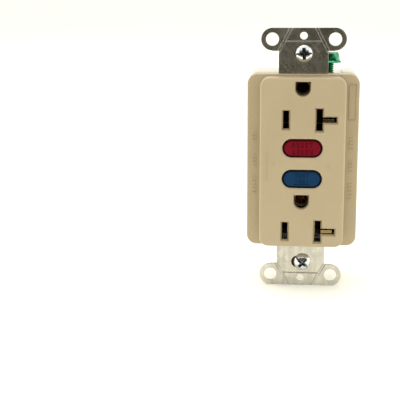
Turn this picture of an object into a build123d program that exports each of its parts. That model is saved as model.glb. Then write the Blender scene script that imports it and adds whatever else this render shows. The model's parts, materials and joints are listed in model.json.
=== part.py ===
from build123d import *

import math
import os

# A ground-fault duplex receptacle, in millimetres. X runs to the right, Y runs into the wall and
# Z runs up. The origin is the centre of the mounting strap's rear face, where it meets the wall.

# Mounting strap
STRAP_LENGTH = 102.9
STRAP_THICKNESS = 1.3
STRAP_WIDTH = 19.05
SPINE_WIDTH = 7.0
STRAP_FRONT = -STRAP_THICKNESS
PLATE_SCREW_SPACING = 96.8
PLATE_HOLE_R = 1.45
BOX_SCREW_SPACING = 83.3
BOX_SLOT_LENGTH = 7.2
BOX_SLOT_WIDTH = 4.7
BOX_HEAD_R = 3.3
BOX_NECK_R = 1.45
BOX_THREAD_R = 1.7
BOX_HEAD_Y = (-3.5, -1.35)
BOX_HEAD_DOME = 1.1
BOX_RECESS_DEPTH = 1.6
BOX_TIP_Y = 16.8
EAR_SPACING_X = 24.06
EAR_SPACING_Z = 94.2
EAR_R = 4.35
EAR_HOLE_R = 2.5
EAR_INNER_Z = 42.6
GROOVE_WIDTH = 1.15
GROOVE_DEPTH = 0.3
GROOVE_TAPER = 42
CREASE_WIDTH = 0.4
CREASE_DEPTH = 0.2
CREASE_Z = 46.3

# Front cover: a raised face on a wider flange, with a skirt around the rear housing
COVER_CENTRE = (0.1, -0.35)
FACE_WIDTH = 33.0
FACE_HEIGHT = 66.8
FACE_RADIUS = 3.5
FACE_EDGE = 1.0
FACE_FRONT = -7.9
FACE_THICKNESS = 2.0
FACE_SIDE_WALL = 1.8
FACE_END_WALL = 1.3
BODY_WIDTH = 43.4
BODY_HEIGHT = 68.4
BODY_RADIUS = 4.0
BODY_WALL = 1.8
FLANGE_FRONT = -1.8
FLANGE_EDGE = 0.5
COVER_REAR = 3.0
SKIRT_REAR = 6.0
SKIRT_WALL = 1.2
SHROUD_WALL = 0.8
SHROUD_REAR = -5.0
LEAD_IN_WIDTH = 0.58
GROUND_LEAD_IN_WIDTH = 0.3
LEAD_IN_DEPTH = 1.3
BUTTON_RIM_WIDTH = 0.7
BUTTON_RIM_DEPTH = 0.4

# Blade slots of each outlet, measured from the ground hole's centre
OUTLET_GROUND_Z = (28.6, -15.65)
BLADE_DROP = 11.9
HOT_X = -6.31
HOT_SLOT = (2.32, 6.9)
NEUTRAL_X = 6.52
NEUTRAL_SLOT = (2.48, 8.5)
BRANCH_SLOT = (5.4, 2.1)
BRANCH_X = 10.43
GROUND_HOLE_WIDTH = 5.57
GROUND_HOLE_HEIGHT = 5.26

# Buttons
RESET_AT = (0.15, 5.7)
TEST_AT = (0.1, -6.4)
BUTTON_HOLE = (15.65, 7.35)
BUTTON_GAP = 0.42
BUTTON_EDGE = 0.2
BUTTON_STEP = (0.5, 0.45)
BUTTON_LIP = 0.7
BUTTON_FRONT = -7.85
BUTTON_SHOULDER = -5.7
BUTTON_BACK = -4.4
WELL_R = 3.1
WELL_WALL = 0.8
WELL_BOTTOM = 6.0
SPRING_R = (2.0, 2.8)
RESET_TRAVEL = 2.5
TEST_TRAVEL = 2.0
SPRING_END_GAP = 0.1
PIN_R = 1.5
TEST_STEM_X = -5.5
TEST_STEM_R = 1.0

# Rear housing
BODY_REAR = 28.0
REAR_INSET = 0.25
SEAM_GAP = 0.05
CAVITY_HALF_WIDTH = 18.6
CAVITY_HALF_HEIGHT = 31.3
CAVITY_REAR = 26.0
ASSEMBLY_SCREW_AT = (16.9, 29.9)
ASSEMBLY_SCREW_R = 1.2
ASSEMBLY_HEAD_R = 2.1
BOSS_R = 2.4

# Wire terminals, in four side bays
BAY_Z = 21.0
BAY_HALF_HEIGHT = 6.5
BAY_WALL = 1.0
BAY_INNER_X = 14.3
BAY_Y = (6.5, 20.5)
WIRE_HOLE_X = 16.2
WIRE_HOLE_Z = 3.5
WIRE_HOLE_R = 1.3
TERMINAL_X = (17.2, 18.0)
TERMINAL_SCREW_Y = 13.5
TERMINAL_SCREW_R = 2.08
TERMINAL_HEAD_R = 3.9
TERMINAL_HEAD_X = 20.3
TERMINAL_SCREW_TIP_X = 14.45
PLATE_X = (14.5, 15.7)
PLATE_SIDE = 8.5
RUNNING_GAP = 0.06

# Green ground screw and its tab on the strap
GROUND_SCREW_AT = (9.6, 8.5)
GROUND_SCREW_R = 2.41
GROUND_FLANGE_R = 5.2
GROUND_HEAD_R = 4.7
GROUND_HEAD_TURN = 14
GROUND_RIM = 0.3
GROUND_COLLAR = 0.6
GROUND_SLOT_WIDTH = 1.2
GROUND_SLOT_DEPTH = 1.3
GROUND_SEAT_Z = 37.5
GROUND_TOP_Z = 41.3
GROUND_TIP_Z = 30.9
TAB_X = (4.9, 14.3)
TAB_Z = (31.4, 32.7)
TAB_REAR = 13.6
GROUND_POCKET_X = (4.2, 15.2)

# Inside: contact deck, contacts, trip mechanism and electronics
DECK_HALF_WIDTH = 12.9
DECK_HALF_HEIGHT = 31.1
DECK_Y = (10.8, 11.8)
LEAF = 0.6
CONTACT_FRONT = -0.9
CONTACT_REAR = 9.2
CLIP_HALF_HEIGHT = 3.0
CLIP_WEB_FRONT = 7.9
BRANCH_LEAF_FRONT = -5.6
BRANCH_LEAF_END = 12.2
BRANCH_LEAF_Z = (0.1, 0.5)
BUS_X = 7.9
FIXED_CONTACT_AT = (8.2, 1.0)
FIXED_CONTACT_Y = 12.5
CONTACT_BUTTON_R = 1.3
ARM_Y = (14.0, 14.6)
ARM_HINGE_Z = 9.0
HINGE_ROLL_R = 0.3
CARRIAGE_Y = (14.8, 16.2)
CARRIAGE_Z = (2.9, 7.9)
LATCH_Y = (16.3, 16.9)
SOLENOID_Y = 14.1
SOLENOID_Z = (-30.4, -13.4)
COIL_R = 4.1
BOBBIN_R = 4.5
PLUNGER_R = 1.65
TEST_BLADE_HINGE_Z = -12.9
BOARD_Y = (19.5, 21.1)
BOARD_HALF_WIDTH = 12.9
BOARD_WIDE_HALF_WIDTH = 18.2
BOARD_HALF_HEIGHT = 31.0
TOROID_Z = 20.5
TOROID_R = 10.0
TOROID_BORE_R = 5.0
CONDUCTOR_X = 3.0

SIDES = {"hot": -1, "neutral": 1}
ENDS = {"line": 1, "load": -1}


def block(x, y, z):
    """A box between two values on each axis."""
    size = [abs(span[1] - span[0]) for span in (x, y, z)]
    centre = [(span[0] + span[1]) / 2 for span in (x, y, z)]
    return Pos(*centre) * Box(*size)


def along_y(outline, front, rear):
    """A solid with an outline drawn in X and Z, from one depth to another."""
    return extrude(Plane.XZ.offset(-front) * outline, amount=front - rear)


def rod_x(start, end, y, z, radius):
    return Pos((start + end) / 2, y, z) * Rot(0, 90, 0) * Cylinder(radius, abs(end - start))


def rod_y(x, z, front, rear, radius):
    return Pos(x, (front + rear) / 2, z) * Rot(90, 0, 0) * Cylinder(radius, rear - front)


def rod_z(x, y, low, high, radius):
    return Pos(x, y, (low + high) / 2) * Cylinder(radius, high - low)


def slot_at(place, length, width):
    return Pos(*place) * SlotOverall(length, width)


def mirrored(span, side):
    """A span of X given for the right-hand side, on either side."""
    return (side * span[0], side * span[1])


def tapered_cut(outline, front, width, depth):
    """A cut whose sides close in by a width over a depth behind its front."""
    taper = math.degrees(math.atan2(width, depth))
    facing_out = Plane((0, 0, 0), x_dir=(1, 0, 0), z_dir=(0, -1, 0))
    return Pos(0, front, 0) * extrude(facing_out * outline, amount=-depth, taper=taper)


# ---- outlines of the body, and openings of the face ----


def body_outline(inset=0.0):
    """The outer outline of the receptacle's body, or one inside it."""
    size = (BODY_WIDTH - 2 * inset, BODY_HEIGHT - 2 * inset)
    return Pos(*COVER_CENTRE) * RectangleRounded(*size, BODY_RADIUS - inset)


def body_end(end):
    """The height of the body's upper or lower end."""
    return COVER_CENTRE[1] + end * BODY_HEIGHT / 2


def hot_outline(ground_z, grow=0.0):
    return Pos(HOT_X, ground_z - BLADE_DROP) * Rectangle(HOT_SLOT[0] + 2 * grow, HOT_SLOT[1] + 2 * grow)


def neutral_outline(ground_z, grow=0.0):
    centre_z = ground_z - BLADE_DROP
    upright = Pos(NEUTRAL_X, centre_z) * Rectangle(NEUTRAL_SLOT[0] + 2 * grow, NEUTRAL_SLOT[1] + 2 * grow)
    branch = Pos(BRANCH_X, centre_z) * Rectangle(BRANCH_SLOT[0] + 2 * grow, BRANCH_SLOT[1] + 2 * grow)
    return upright + branch


def ground_outline(ground_z, grow=0.0):
    """A round-bottomed hole with a flat top."""
    radius = GROUND_HOLE_WIDTH / 2 + grow
    top = ground_z + GROUND_HOLE_HEIGHT / 2 + grow
    centre = ground_z - GROUND_HOLE_HEIGHT / 2 + GROUND_HOLE_WIDTH / 2
    upper = Pos(0, (centre + top) / 2) * Rectangle(2 * radius, top - centre)
    round_end = Pos(0, centre) * Circle(radius)
    above = Pos(0, centre + radius) * Rectangle(4 * radius, 2 * radius)
    return (round_end - above) + upper


def slot_outlines(grow=0.0):
    outlines = []
    for ground_z in OUTLET_GROUND_Z:
        outlines += [outline(ground_z, grow) for outline in (hot_outline, neutral_outline, ground_outline)]
    return outlines


def strap_notch(end, inner_z, rear):
    """The gap in an end wall that the strap runs out through."""
    half_width = STRAP_WIDTH / 2 + 0.1
    return block((-half_width, half_width), (STRAP_FRONT - 0.05, rear), (end * inner_z, body_end(end) + end))


def assembly_places():
    x, z = ASSEMBLY_SCREW_AT
    return [(x, z), (-x, z), (-x, -z), (x, -z)]


def front_cover():
    face_outline = Pos(*COVER_CENTRE) * RectangleRounded(FACE_WIDTH, FACE_HEIGHT, FACE_RADIUS)
    face = along_y(face_outline, FACE_FRONT, 0)
    face = fillet(face.edges().group_by(Axis.Y)[0], FACE_EDGE)
    flange = along_y(body_outline(), FLANGE_FRONT, COVER_REAR)
    cover = face + fillet(flange.edges().group_by(Axis.Y)[0], FLANGE_EDGE)
    cover += along_y(body_outline() - body_outline(SKIRT_WALL), COVER_REAR, SKIRT_REAR)
    inside_height = 2 * CAVITY_HALF_HEIGHT + 1.0
    face_inside = RectangleRounded(FACE_WIDTH - 2 * FACE_SIDE_WALL, inside_height, 2)
    cover -= along_y(face_inside, FACE_FRONT + FACE_THICKNESS, COVER_REAR)
    skirt_inside = RectangleRounded(BODY_WIDTH - 2 * BODY_WALL, inside_height, 2)
    cover -= along_y(skirt_inside, 0, COVER_REAR)
    for outline in slot_outlines(SHROUD_WALL):
        cover += along_y(outline, FACE_FRONT + FACE_THICKNESS, SHROUD_REAR)
    for x, z in assembly_places():
        cover += rod_y(x, z, 0, COVER_REAR, BOSS_R)
        cover -= rod_y(x, z, -0.9, COVER_REAR, ASSEMBLY_SCREW_R + RUNNING_GAP)
    for outline in slot_outlines():
        cover -= along_y(outline, FACE_FRONT, SHROUD_REAR)
    lead_ins = (
        (hot_outline, LEAD_IN_WIDTH),
        (neutral_outline, LEAD_IN_WIDTH),
        (ground_outline, GROUND_LEAD_IN_WIDTH),
    )
    for ground_z in OUTLET_GROUND_Z:
        for outline, width in lead_ins:
            cover -= tapered_cut(outline(ground_z, width), FACE_FRONT, width, LEAD_IN_DEPTH)
    for place in (RESET_AT, TEST_AT):
        cover -= along_y(slot_at(place, *BUTTON_HOLE), FACE_FRONT, FACE_FRONT + FACE_THICKNESS)
        rim = slot_at(place, BUTTON_HOLE[0] + 2 * BUTTON_RIM_WIDTH, BUTTON_HOLE[1] + 2 * BUTTON_RIM_WIDTH)
        cover -= tapered_cut(rim, FACE_FRONT, BUTTON_RIM_WIDTH, BUTTON_RIM_DEPTH)
    for end in (1, -1):
        cover -= strap_notch(end, CAVITY_HALF_HEIGHT, SKIRT_REAR)
    tab_gap = 0.25
    tab_x = (TAB_X[0] - tab_gap, TAB_X[1] + tab_gap)
    cover -= block(tab_x, (STRAP_FRONT - 0.05, COVER_REAR), (CAVITY_HALF_HEIGHT - 2, TAB_Z[1] + 0.1))
    return cover - block(GROUND_POCKET_X, (COVER_REAR, SKIRT_REAR), (CAVITY_HALF_HEIGHT, BODY_HEIGHT))


# ---- strap ----


def strap_outline():
    half_length = STRAP_LENGTH / 2
    outline = Rectangle(STRAP_WIDTH, STRAP_LENGTH)
    ear_height = half_length - EAR_INNER_Z
    for end in (1, -1):
        ear_z = end * EAR_SPACING_Z / 2
        middle_z = end * (half_length + EAR_INNER_Z) / 2
        outline += Pos(0, middle_z) * Rectangle(EAR_SPACING_X, ear_height)
        for side in (1, -1):
            outline += Pos(side * EAR_SPACING_X / 2, ear_z) * Circle(EAR_R)
    wing_z = (26.0, TAB_Z[1])
    outline += Pos((9.0 + TAB_X[1]) / 2, sum(wing_z) / 2) * Rectangle(TAB_X[1] - 9.0, wing_z[1] - wing_z[0])
    return outline


def strap_openings():
    openings = []
    spine_side = (STRAP_WIDTH - SPINE_WIDTH) / 2 + 1
    for low, high in ((11.6, 22.6), (-31.8, -21.6)):
        for side in (1, -1):
            centre_x = side * (SPINE_WIDTH / 2 + spine_side / 2)
            openings.append(Pos(centre_x, (low + high) / 2) * Rectangle(spine_side, high - low))
    for ground_z in OUTLET_GROUND_Z:
        openings.append(ground_outline(ground_z, 0.25))
        openings += [Pos(*place) * Circle(0.82) for place in rivet_places(ground_z)]
    for place in (RESET_AT, TEST_AT):
        openings.append(Pos(*place) * Circle(WELL_R + WELL_WALL + 0.2))
    openings.append(Pos(TEST_STEM_X, TEST_AT[1]) * Circle(TEST_STEM_R + 0.4))
    for end in (1, -1):
        openings.append(Pos(0, end * PLATE_SCREW_SPACING / 2) * Circle(PLATE_HOLE_R))
        openings.append(slot_at((0, end * BOX_SCREW_SPACING / 2), BOX_SLOT_LENGTH, BOX_SLOT_WIDTH))
        for side in (1, -1):
            openings.append(Pos(side * EAR_SPACING_X / 2, end * EAR_SPACING_Z / 2) * Circle(EAR_HOLE_R))
    return openings


def ear_grooves():
    """Score lines that let the plaster ears be snapped off."""
    grooves = []
    top = (4.8, STRAP_LENGTH / 2)
    foot = (STRAP_WIDTH / 2, EAR_INNER_Z)
    run = math.dist(top, foot)
    lean = math.degrees(math.atan2(top[1] - foot[1], top[0] - foot[0]))
    for end in (1, -1):
        for side in (1, -1):
            centre = (side * (top[0] + foot[0]) / 2, end * (top[1] + foot[1]) / 2)
            line = Rot(0, 0, side * end * lean) * Rectangle(run + 1, GROOVE_WIDTH)
            grooves.append(Pos(*centre) * line)
    return grooves


def mounting_strap():
    strap = along_y(strap_outline(), STRAP_FRONT, 0)
    for opening in strap_openings():
        strap -= along_y(opening, STRAP_FRONT, 0)
    side_width = GROOVE_DEPTH * math.tan(math.radians(GROOVE_TAPER))
    for groove in ear_grooves():
        strap -= tapered_cut(groove, STRAP_FRONT, side_width, GROOVE_DEPTH)
    for end in (1, -1):
        crease = Pos(0, end * CREASE_Z) * Rectangle(15.2, CREASE_WIDTH)
        strap -= tapered_cut(crease, STRAP_FRONT, CREASE_WIDTH / 3, CREASE_DEPTH)
    strap += block(TAB_X, (STRAP_FRONT, TAB_REAR), TAB_Z)
    x, y = GROUND_SCREW_AT
    return strap - rod_z(x, y, TAB_Z[0] - 1, TAB_Z[1] + 1, GROUND_SCREW_R + RUNNING_GAP)


# ---- rear housing ----


def bays():
    return [(side, end * BAY_Z) for end in (1, -1) for side in (-1, 1)]


def rear_housing():
    shell = along_y(body_outline(REAR_INSET), SKIRT_REAR + SEAM_GAP, BODY_REAR)
    shell = fillet(shell.edges().group_by(Axis.Y)[-1], 1.0)
    shell += along_y(body_outline(SKIRT_WALL + SEAM_GAP), COVER_REAR, SKIRT_REAR + SEAM_GAP)
    inside = RectangleRounded(2 * CAVITY_HALF_WIDTH, 2 * CAVITY_HALF_HEIGHT, 2)
    shell -= along_y(inside, COVER_REAR, CAVITY_REAR)
    for x, z in assembly_places():
        shell += rod_y(x, z, COVER_REAR, CAVITY_REAR, BOSS_R)
    for side, z in bays():
        shell += bay_block(side, z)
    for side, z in bays():
        shell -= bay_pocket(side, z)
    tab_well = block((3.4, 16.0), (COVER_REAR, 15.2), (30.1, 32.4))
    shell += tab_well
    shell -= block(GROUND_POCKET_X, (COVER_REAR, 14.2), (CAVITY_HALF_HEIGHT + 0.05, BODY_HEIGHT))
    shell -= block(GROUND_POCKET_X, (COVER_REAR, BODY_REAR + 1), (TAB_Z[1], BODY_HEIGHT))
    x, y = GROUND_SCREW_AT
    shell -= rod_z(x, y, 29.0, TAB_Z[0], GROUND_SCREW_R + 0.5)
    for x, z in assembly_places():
        shell -= rod_y(x, z, COVER_REAR, BODY_REAR, ASSEMBLY_SCREW_R + RUNNING_GAP)
        shell -= rod_y(x, z, BODY_REAR - 1.6, BODY_REAR, ASSEMBLY_HEAD_R + 0.1)
    for end in (1, -1):
        half_width = STRAP_WIDTH / 2 - 0.1
        span_z = (end * (CAVITY_HALF_HEIGHT + 0.3), body_end(end) - end * REAR_INSET)
        tongue = block((-half_width, half_width if end < 0 else 4.0), (0.1, SKIRT_REAR + 1), span_z)
        shell += tongue
    shell += back_ribs()
    return shell


def bay_block(side, z):
    x = mirrored((BAY_INNER_X - BAY_WALL, BODY_WIDTH / 2 - 2.0), side)
    reach = BAY_HALF_HEIGHT + BAY_WALL + 0.2
    return block(x, (BAY_Y[0] - BAY_WALL, CAVITY_REAR + 0.5), (z - reach, z + reach))


def bay_pocket(side, z):
    """The open side of a terminal bay, its two wire entries and the slot for its terminal's leg."""
    pocket = block(mirrored((BAY_INNER_X, BODY_WIDTH / 2 + 1), side), BAY_Y,
                   (z - BAY_HALF_HEIGHT, z + BAY_HALF_HEIGHT))
    pocket += block(mirrored((BAY_INNER_X - BAY_WALL - 1, BAY_INNER_X + 1), side), (18.2, 19.4),
                    (z - 1.4, z + 1.4))
    for shift in (WIRE_HOLE_Z, -WIRE_HOLE_Z):
        pocket += rod_y(side * WIRE_HOLE_X, z + shift, BAY_Y[1] - 1, BODY_REAR, WIRE_HOLE_R)
        funnel = Pos(side * WIRE_HOLE_X, BODY_REAR - 0.6, z + shift) * Rot(-90, 0, 0)
        pocket += funnel * Cone(WIRE_HOLE_R, WIRE_HOLE_R + 0.6, 1.2)
    return pocket


def back_ribs():
    """A low frame and two bars on the back that stiffen the floor of the housing."""
    frame = RectangleRounded(18.0, 30.0, 1.5) - RectangleRounded(16.4, 28.4, 1.0)
    ribs = along_y(frame, BODY_REAR, BODY_REAR + 0.5)
    return ribs + [block((-8.2, 8.2), (BODY_REAR, BODY_REAR + 0.5), (z - 0.4, z + 0.4)) for z in (-5, 5)]


def assembly_screws():
    screws = []
    for x, z in assembly_places():
        screw = rod_y(x, z, -0.8, BODY_REAR - 1.55, ASSEMBLY_SCREW_R)
        screw += rod_y(x, z, BODY_REAR - 1.55, BODY_REAR - 0.1, ASSEMBLY_HEAD_R)
        recess = block((x - 1.2, x + 1.2), (BODY_REAR - 0.9, BODY_REAR), (z - 0.25, z + 0.25))
        recess += block((x - 0.25, x + 0.25), (BODY_REAR - 0.9, BODY_REAR), (z - 1.2, z + 1.2))
        screws.append(screw - recess)
    return Compound(children=screws)


# ---- contacts ----


def rivet_places(ground_z):
    return [(side * 2.5, ground_z - 3.4) for side in (1, -1)]


def ground_contact(ground_z):
    """A plate against the strap with four springy fingers around the ground pin."""
    plate = along_y(Pos(0, ground_z - 1.4) * RectangleRounded(7.2, 6.0, 0.6), 0, 0.7)
    fingers = rod_y(0, ground_z, 0.7, 8.0, 3.0)
    fingers -= block((-4, 4), (1.8, 9), (ground_z - 0.4, ground_z + 0.4))
    fingers -= block((-0.4, 0.4), (1.8, 9), (ground_z - 4, ground_z + 4))
    fingers -= block((-4, 4), (0.7, 9), (ground_z + 2.2, ground_z + 4))
    contact = plate + fingers - rod_y(0, ground_z, -1, 9, 2.42)
    for x, z in rivet_places(ground_z):
        contact -= rod_y(x, z, -1, 2, 0.82)
    return contact


def contact_rivets():
    rivets = []
    for ground_z in OUTLET_GROUND_Z:
        for x, z in rivet_places(ground_z):
            rivet = rod_y(x, z, STRAP_FRONT, 0.7, 0.8)
            rivet += rod_y(x, z, STRAP_FRONT - 0.4, STRAP_FRONT, 1.2)
            rivets.append(rivet + rod_y(x, z, 0.7, 1.1, 1.2))
    return Compound(children=rivets)


def contact_strip(side, slot_x):
    """A bus bar with a blade clip at each outlet and a fixed contact between them."""
    bus_y = (3.5, 7.0)
    strip = block(mirrored((BUS_X, BUS_X + LEAF), side), bus_y, (-31.1, 21.3))
    inner = (abs(slot_x) - 1.55, abs(slot_x) - 0.95)
    for ground_z in OUTLET_GROUND_Z:
        centre = ground_z - BLADE_DROP
        span = (centre - CLIP_HALF_HEIGHT, centre + CLIP_HALF_HEIGHT)
        strip += block(mirrored((BUS_X, BUS_X + LEAF), side), (CONTACT_FRONT, CONTACT_REAR), span)
        strip += block(mirrored(inner, side), (CONTACT_FRONT, CONTACT_REAR), span)
        for z in (span[0] - 0.3, span[1] + 0.3):
            web_x = mirrored((inner[0], BUS_X + LEAF), side)
            strip += block(web_x, (CLIP_WEB_FRONT, CONTACT_REAR), (z - 0.3, z + 0.3))
        if side > 0:
            strip += branch_leaves(centre - 0.3)
    x, z = FIXED_CONTACT_AT
    strip += block(mirrored((BUS_X, BUS_X + LEAF), side), (6.5, FIXED_CONTACT_Y), (z - 1.4, z + 1.4))
    strip += rod_y(side * x, z, FIXED_CONTACT_Y - 0.6, 13.1, CONTACT_BUTTON_R)
    return strip


def branch_leaves(z):
    """Two leaves, pinched together at the front, that grip a blade in the branch of a slot."""
    leaves = []
    for shift in (1, -1):
        leaf_z = [z + shift * edge for edge in BRANCH_LEAF_Z]
        leaves.append(block((BUS_X, BRANCH_LEAF_END), (BRANCH_LEAF_FRONT, CONTACT_REAR), leaf_z))
    return leaves


def contact_deck():
    """The insulating tray between the outlet contacts and the trip mechanism."""
    tray = block((-DECK_HALF_WIDTH, DECK_HALF_WIDTH), (4.0, DECK_Y[1]), (-DECK_HALF_HEIGHT, DECK_HALF_HEIGHT))
    wall = 0.8
    hollow_x = (wall - DECK_HALF_WIDTH, DECK_HALF_WIDTH - wall)
    hollow_z = (wall - DECK_HALF_HEIGHT, DECK_HALF_HEIGHT - wall)
    tray -= block(hollow_x, (3.0, DECK_Y[0]), hollow_z)
    for z in (10.6, 22.6, -20.6):
        tray += block(hollow_x, (7.6, DECK_Y[0]), (z - wall / 2, z + wall / 2))
    for place in (RESET_AT, TEST_AT):
        tray += rod_y(*place, 0.3, DECK_Y[1], WELL_R + WELL_WALL)
    tray -= rod_y(*RESET_AT, 0, WELL_BOTTOM, WELL_R) + rod_y(*RESET_AT, 0, DECK_Y[1] + 1, PIN_R + 0.3)
    tray -= rod_y(*TEST_AT, 0, WELL_BOTTOM, WELL_R)
    tray -= rod_y(TEST_STEM_X, TEST_AT[1], 0, DECK_Y[1] + 1, TEST_STEM_R + 0.3)
    x, z = FIXED_CONTACT_AT
    for side in (1, -1):
        tray -= block(mirrored((x - 1.6, x + 1.6), side), (7, DECK_Y[1] + 1), (z - 1.7, z + 1.7))
    tray -= block((-5.5, 5.5), (7, DECK_Y[1] + 1), (SOLENOID_Z[0] - 0.3, SOLENOID_Z[1] + 0.3))
    tray -= block((3.2, 14), (3, DECK_Y[1] + 1), (29.9, 32))
    tray -= rod_z(*GROUND_SCREW_AT, 24.0, 32.0, GROUND_SCREW_R + 0.3)
    tray -= block((-3.3, 3.3), (3, 8.2), (29.9, 32))
    for side in (1, -1):
        tray -= block(mirrored((4.5, 9.0), side), (3, DECK_Y[0]), (-32, -30.1))
    for ground_z in OUTLET_GROUND_Z:
        centre = ground_z - BLADE_DROP
        tray -= block((11.9, 14), (3, DECK_Y[0]), (centre - 2.0, centre + 2.0))
    return tray


# ---- terminals ----


def terminal(side, end):
    """A slotted brass plate behind the screw head, with a leg that runs in to the circuit board."""
    z = end * BAY_Z
    half = 5.5
    plate = block(mirrored(TERMINAL_X, side), (7.0, 20.0), (z - half, z + half))
    plate -= rod_x(side * 16, side * 19, TERMINAL_SCREW_Y, z, TERMINAL_SCREW_R + 0.22)
    leg = block(mirrored((12.0, TERMINAL_X[1]), side), (18.4, 19.2), (z - 1.2, z + 1.2))
    tab = block(mirrored((12.0, 12.6), side), (18.4, 22.2), (z - 1.2, z + 1.2))
    return plate + leg + tab


def terminal_screw(side, end):
    z = end * BAY_Z
    screw = rod_x(side * TERMINAL_SCREW_TIP_X, side * TERMINAL_X[1], TERMINAL_SCREW_Y, z, TERMINAL_SCREW_R)
    head = rod_x(side * TERMINAL_X[1], side * TERMINAL_HEAD_X, TERMINAL_SCREW_Y, z, TERMINAL_HEAD_R)
    rim = head.edges().filter_by(lambda edge: abs(abs(edge.center().X) - TERMINAL_HEAD_X) < 1e-4)
    head = fillet(rim, 0.7)
    depth_x = mirrored((TERMINAL_HEAD_X - 1.2, TERMINAL_HEAD_X + 1), side)
    head -= block(depth_x, (TERMINAL_SCREW_Y - 4.5, TERMINAL_SCREW_Y + 4.5), (z - 0.5, z + 0.5))
    head -= block(depth_x, (TERMINAL_SCREW_Y - 0.5, TERMINAL_SCREW_Y + 0.5), (z - 1.9, z + 1.9))
    return screw + head


def pressure_plate(side, end):
    z = end * BAY_Z
    half = PLATE_SIDE / 2
    middle = TERMINAL_SCREW_Y
    plate = block(mirrored(PLATE_X, side), (middle - half, middle + half), (z - half, z + half))
    outer = side * PLATE_X[1]
    for shift in (WIRE_HOLE_Z, -WIRE_HOLE_Z):
        plate -= rod_y(outer, z + shift, 0, 25, 0.55)
    return plate - rod_x(side * 13, side * 17, TERMINAL_SCREW_Y, z, TERMINAL_SCREW_R + RUNNING_GAP)


def ground_screw():
    """A hex washer head with a crossed slot, over a plain shank of the thread's outer radius."""
    x, y = GROUND_SCREW_AT
    washer_top = GROUND_SEAT_Z + GROUND_RIM
    collar_top = washer_top + GROUND_COLLAR
    screw = rod_z(x, y, GROUND_TIP_Z, GROUND_SEAT_Z, GROUND_SCREW_R)
    screw += rod_z(x, y, GROUND_SEAT_Z, washer_top, GROUND_FLANGE_R)
    collar = Cone(GROUND_FLANGE_R, GROUND_HEAD_R - 0.2, collar_top - washer_top)
    screw += Pos(x, y, (washer_top + collar_top) / 2) * collar
    outline = Pos(x, y) * RegularPolygon(GROUND_HEAD_R, 6, rotation=GROUND_HEAD_TURN)
    head = extrude(Plane.XY.offset(collar_top) * outline, amount=GROUND_TOP_Z - collar_top)
    crown_height = 8.0
    crown = Cone(GROUND_HEAD_R + 1.6, GROUND_HEAD_R - 0.75, crown_height)
    head &= Pos(x, y, GROUND_TOP_Z - crown_height / 2) * crown
    slot_z = (GROUND_TOP_Z - GROUND_SLOT_DEPTH, GROUND_TOP_Z + 1)
    half = GROUND_SLOT_WIDTH / 2
    head -= block((x - 5, x + 5), (y - half, y + half), slot_z)
    head -= block((x - half, x + half), (y - 2.2, y + 2.2), slot_z)
    return screw + head


# ---- box screws ----


def box_screw_x(end):
    return 0.2 if end > 0 else 0.8


def box_screw_angle(end):
    return 3 if end > 0 else -38


def cross_recess(front, depth):
    """Two crossed wedges around the Y axis, as wide as the recess at its mouth."""
    slope = 0.33
    return [
        tapered_cut(Rectangle(length, width), front, slope * depth, depth)
        for length, width in ((3.6, 1.35), (1.35, 4.6))
    ]


def mounting_screw(end):
    """A combination-head screw, undercut where its fibre retainer sits behind the strap."""
    x, z = box_screw_x(end), end * BOX_SCREW_SPACING / 2
    front, seat = BOX_HEAD_Y
    head = fillet(rod_y(0, 0, front, seat, BOX_HEAD_R).edges().group_by(Axis.Y)[0], BOX_HEAD_DOME)
    head -= block((-4, 4), (front - 1, front + 0.9), (-0.38, 0.38))
    for wing in cross_recess(front, BOX_RECESS_DEPTH):
        head -= wing
    head = Pos(x, 0, z) * Rot(0, -box_screw_angle(end), 0) * head
    shoulder = 1.2
    neck = rod_y(x, z, seat, shoulder, BOX_NECK_R)
    thread = rod_y(x, z, shoulder, BOX_TIP_Y, BOX_THREAD_R)
    point_length = 0.7
    point = Cone(BOX_THREAD_R, 1.1, point_length)
    return head + neck + thread + Pos(x, BOX_TIP_Y + point_length / 2, z) * Rot(-90, 0, 0) * point


def screw_retainer(end):
    x, z = box_screw_x(end), end * BOX_SCREW_SPACING / 2
    washer = along_y(Pos(x, z) * RectangleRounded(9.0, 6.8, 0.8), 0.05, 0.85)
    return washer - rod_y(x, z, -1, 2, BOX_NECK_R + RUNNING_GAP)


# ---- buttons ----


def button(place):
    """A stadium button with a raised middle, whose wider lip stays behind the face."""
    step_in, step_back = BUTTON_STEP
    length, width = (side - 2 * BUTTON_GAP for side in BUTTON_HOLE)
    cap = along_y(slot_at(place, length, width), BUTTON_FRONT + step_back, BUTTON_BACK)
    middle = slot_at(place, length - 2 * step_in, width - 2 * step_in)
    plateau = along_y(middle, BUTTON_FRONT, BUTTON_BACK)
    cap += fillet(plateau.edges().group_by(Axis.Y)[0], BUTTON_EDGE)
    lip = slot_at(place, BUTTON_HOLE[0] + 2 * BUTTON_LIP, BUTTON_HOLE[1] + 2 * BUTTON_LIP)
    return cap + along_y(lip, BUTTON_SHOULDER, BUTTON_BACK)


def reset_pin():
    """The pin pressed into the reset button, with a groove that the latch plate sits in."""
    pin = rod_y(*RESET_AT, BUTTON_BACK, 16.9, PIN_R)
    groove = rod_y(*RESET_AT, 13.2, 16.3, PIN_R + 1) - rod_y(*RESET_AT, 13.2, 16.3, 1.0)
    return pin - groove


def test_button():
    """The test button, with a guide post inside its spring and a round-ended stem."""
    stem_z = TEST_AT[1]
    post = rod_y(*TEST_AT, BUTTON_BACK, 2.5, 1.6)
    stem = rod_y(TEST_STEM_X, stem_z, BUTTON_BACK, 11.3, TEST_STEM_R)
    return button(TEST_AT) + post + stem + Pos(TEST_STEM_X, 11.3, stem_z) * Sphere(TEST_STEM_R)


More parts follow.
